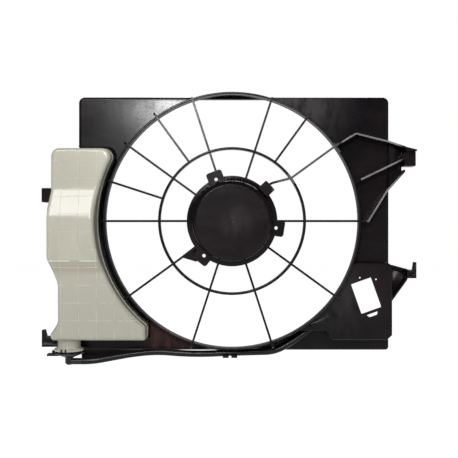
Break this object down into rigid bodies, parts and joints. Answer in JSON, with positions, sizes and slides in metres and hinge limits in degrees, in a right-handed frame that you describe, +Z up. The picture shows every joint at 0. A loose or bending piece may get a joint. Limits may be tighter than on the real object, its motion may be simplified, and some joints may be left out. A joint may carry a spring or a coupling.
{
  "type": "radiator fan shroud",
  "caption": "Moulded radiator fan shroud with a round fan opening, spoked guard and motor cup, a side reservoir with a push-in cap, and its overflow hose.",
  "frame": {"origin": "on the fan axis, in the plane where the motor's three ears seat", "axes": "+Y along the fan axis from the engine side towards the radiator, +X to the right and +Z up as seen from the engine side"},
  "size_m": [0.565, 0.094, 0.4125],
  "materials": {
    "moulding": "fine matt moulded black plastic",
    "reservoir": "translucent off-white blow-moulded plastic, satin",
    "hose": "smooth black rubber",
    "cap": "satin black plastic",
    "seal": "soft black rubber",
    "tube": "translucent natural plastic"
  },
  "bodies": {
    "root": {"cable_outlet": "moulding", "cable_spoke": "moulding", "control_platform": "moulding", "fan_collar": "moulding", "filler_neck": "reservoir", "front_baffles": "reservoir", "guard_ring": "moulding", "hose_clips": "moulding", "inner_spokes": "moulding", "left_lower_arm": "moulding", "left_panel": "moulding", "left_upper_arm": "moulding", "lower_bracket": "moulding", "lower_left_hook": "moulding", "lower_right_hook": "moulding", "motor_cup": "moulding", "outer_spokes": "moulding", "overflow_hose": "hose", "rear_baffles": "reservoir", "right_panel": "moulding", "short_spokes": "moulding", "side_walls": "moulding", "tank_bay": "moulding", "tank_front_shell": "reservoir", "tank_rear_shell": "reservoir", "upper_bracket": "moulding", "upper_left_mount": "moulding", "upper_right_mount": "moulding"},
    "cap": {"filler_cap": "cap", "cap_seal": "seal", "dip_tube": "tube"}
  },
  "joints": [
    {"name": "cap_pull", "type": "slide", "parent": "root", "child": "cap", "axis": [0, 0, -1], "range_m": [0, 0.025], "deforming": ["overflow_hose"]}
  ]
}
